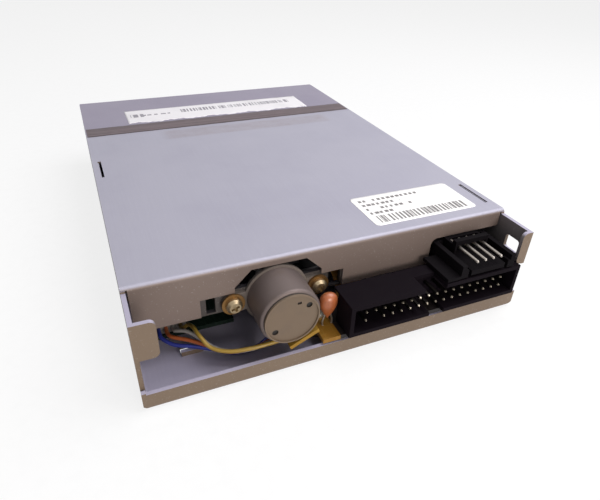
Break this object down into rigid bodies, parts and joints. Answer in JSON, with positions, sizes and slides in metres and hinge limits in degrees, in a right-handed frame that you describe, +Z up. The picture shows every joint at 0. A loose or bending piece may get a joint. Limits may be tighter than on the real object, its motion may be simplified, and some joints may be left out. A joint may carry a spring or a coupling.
{
  "type": "floppy disk drive",
  "caption": "Slim 3.5 inch floppy disk drive: sheet-metal chassis and cover, stepper-driven head carriage, spindle, disk holder, eject slider, data and power connectors.",
  "frame": {"origin": "centre of the underside, at the middle of the whole depth with the data connector", "axes": "+Z up, -Y out of the disk mouth, +Y out of the connector end, +X to the right seen from the disk mouth"},
  "size_m": [0.1016, 0.1436, 0.0254],
  "materials": {
    "pan_steel": "galvanised sheet, dull",
    "cover_steel": "zinc-plated sheet with a dull lilac cast",
    "bracket_steel": "plated sheet",
    "plate_steel": "bright plated",
    "can_steel": "drawn steel",
    "cap_steel": "stamped steel",
    "terminal_board": "brown laminate",
    "washer_brass": "yellow plated",
    "motor_screw_steel": "yellow zinc plated",
    "lead_yellow": "insulation",
    "lead_white": "insulation",
    "lead_orange": "insulation",
    "lead_blue": "insulation",
    "plug_plastic": "nylon",
    "socket_plastic": "nylon",
    "board_brown": "brown laminate",
    "shroud_plastic": "moulded black",
    "pin_metal": "thin gilt",
    "power_plastic": "moulded black",
    "power_pin_metal": "tinned",
    "capacitor_resin": "dipped resin",
    "chip_plastic": "moulded black",
    "leg_metal": "tinned",
    "part_ceramic": "ceramic",
    "screw_steel": "zinc plated",
    "board_dark": "coated steel core",
    "bearing_bronze": "sintered bronze",
    "core_steel": "laminated steel",
    "coil_copper": "enamelled copper",
    "rotor_steel": "plated",
    "magnet": "bonded ferrite",
    "hub_steel": "polished",
    "pin_steel": "polished",
    "leaf_metal": "spring bronze",
    "lead_screw_steel": "ground",
    "rod_steel": "ground",
    "clamp_plastic": "moulded grey",
    "carriage_plastic": "glass-filled plastic",
    "head_ceramic": "polished ceramic",
    "arm_plastic": "glass-filled plastic",
    "spring_steel": "spring wire",
    "ribbon_film": "amber film",
    "sensor_plastic": "moulded black",
    "holder_steel": "plated sheet",
    "lever_plastic": "acetal",
    "slider_steel": "plated sheet",
    "button_plastic": "moulded black",
    "guide_steel": "plated sheet",
    "switch_plastic": "moulded black",
    "plunger_plastic": "acetal",
    "lamp_lens": "diffusing green"
  },
  "bodies": {
    "chassis": {"pan_chassis": "pan_steel", "top_cover": "cover_steel", "stepper_bracket": "bracket_steel", "motor_plate": "plate_steel", "stepper_can": "can_steel", "stepper_end_cap": "cap_steel", "motor_terminal_strip": "terminal_board", "motor_washers": "washer_brass", "motor_screws": "motor_screw_steel", "lead_yellow": "lead_yellow", "lead_white": "lead_white", "lead_orange": "lead_orange", "lead_blue": "lead_blue", "lead_plug": "plug_plastic", "lead_socket": "socket_plastic", "main_board": "board_brown", "data_shroud": "shroud_plastic", "data_pins": "pin_metal", "power_housing": "power_plastic", "power_pins": "power_pin_metal", "drop_capacitor": "capacitor_resin", "controller_chip": "chip_plastic", "chip_legs": "leg_metal", "board_parts": "part_ceramic", "board_screws": "screw_steel", "spindle_board": "board_dark", "spindle_bearing": "bearing_bronze", "stator_core": "core_steel", "stator_coils": "coil_copper", "guide_rod": "rod_steel", "rod_clamps": "clamp_plastic", "bracket_screws": "screw_steel", "head_ribbon": "ribbon_film", "track_sensor": "sensor_plastic", "left_slider_spring": "spring_steel", "right_slider_spring": "spring_steel", "side_guides": "guide_steel", "sensor_switches": "switch_plastic", "activity_lamp": "lamp_lens"},
    "spindle": {"rotor_cup": "rotor_steel", "rotor_magnet": "magnet", "disk_hub": "hub_steel", "drive_pin": "pin_steel", "pin_leaf_spring": "leaf_metal"},
    "lead_screw": {"lead_screw": "lead_screw_steel"},
    "carriage": {"head_carriage": "carriage_plastic", "lower_head": "head_ceramic", "arm_hinge_pin": "pin_steel", "arm_spring": "spring_steel"},
    "head_arm": {"upper_head_arm": "arm_plastic", "upper_head": "head_ceramic"},
    "holder": {"disk_holder": "holder_steel", "lever_pivot": "pin_steel", "lever_spring": "spring_steel"},
    "shutter_lever": {"shutter_lever": "lever_plastic"},
    "slider": {"eject_slider": "slider_steel", "eject_button": "button_plastic"},
    "write_protect_plunger": {"write_protect_plunger": "plunger_plastic"},
    "density_plunger": {"density_plunger": "plunger_plastic"},
    "disk_plunger": {"disk_plunger": "plunger_plastic"}
  },
  "joints": [
    {"name": "spindle_spin", "type": "hinge", "parent": "chassis", "child": "spindle", "pos_m": [0, -0.0217, 0.0082], "axis": [0, 0, 1], "continuous": true},
    {"name": "carriage_slide", "type": "slide", "parent": "chassis", "child": "carriage", "axis": [0, -1, 0], "range_m": [0, 0.0148], "deforming": ["head_ribbon"]},
    {"name": "lead_screw_turn", "type": "hinge", "parent": "chassis", "child": "lead_screw", "pos_m": [0.0162, 0.046, 0.015], "axis": [0, 1, 0], "range_deg": [0, 1421.8]},
    {"name": "eject_slide", "type": "slide", "parent": "chassis", "child": "slider", "axis": [0, -1, 0], "range_m": [0, 0.006], "deforming": ["left_slider_spring", "right_slider_spring"]},
    {"name": "holder_drop", "type": "slide", "parent": "chassis", "child": "holder", "axis": [0, 0, -1], "range_m": [0, 0.0024]},
    {"name": "head_arm_lower", "type": "hinge", "parent": "carriage", "child": "head_arm", "pos_m": [0, 0.046, 0.0157], "axis": [1, 0, 0], "range_deg": [0, 9.5]},
    {"name": "shutter_lever_swing", "type": "hinge", "parent": "holder", "child": "shutter_lever", "pos_m": [-0.037, 0.0185, 0.0159], "axis": [0, 0, 1], "range_deg": [0, 56], "stiffness_Nm_per_rad": 0.00006},
    {"name": "write_protect_plunger_press", "type": "slide", "parent": "chassis", "child": "write_protect_plunger", "axis": [0, 0, -1], "range_m": [0, 0.0013], "stiffness_N_per_m": 60},
    {"name": "density_plunger_press", "type": "slide", "parent": "chassis", "child": "density_plunger", "axis": [0, 0, -1], "range_m": [0, 0.0013], "stiffness_N_per_m": 60},
    {"name": "disk_plunger_press", "type": "slide", "parent": "chassis", "child": "disk_plunger", "axis": [0, 0, -1], "range_m": [0, 0.0013], "stiffness_N_per_m": 60}
  ],
  "couplings": [
    {"joint": "lead_screw_turn", "follows": "carriage_slide", "rad_per_m": 1675.5},
    {"joint": "holder_drop", "follows": "eject_slide", "ratio": 0.4},
    {"joint": "head_arm_lower", "follows": "eject_slide", "rad_per_m": 27.634}
  ]
}
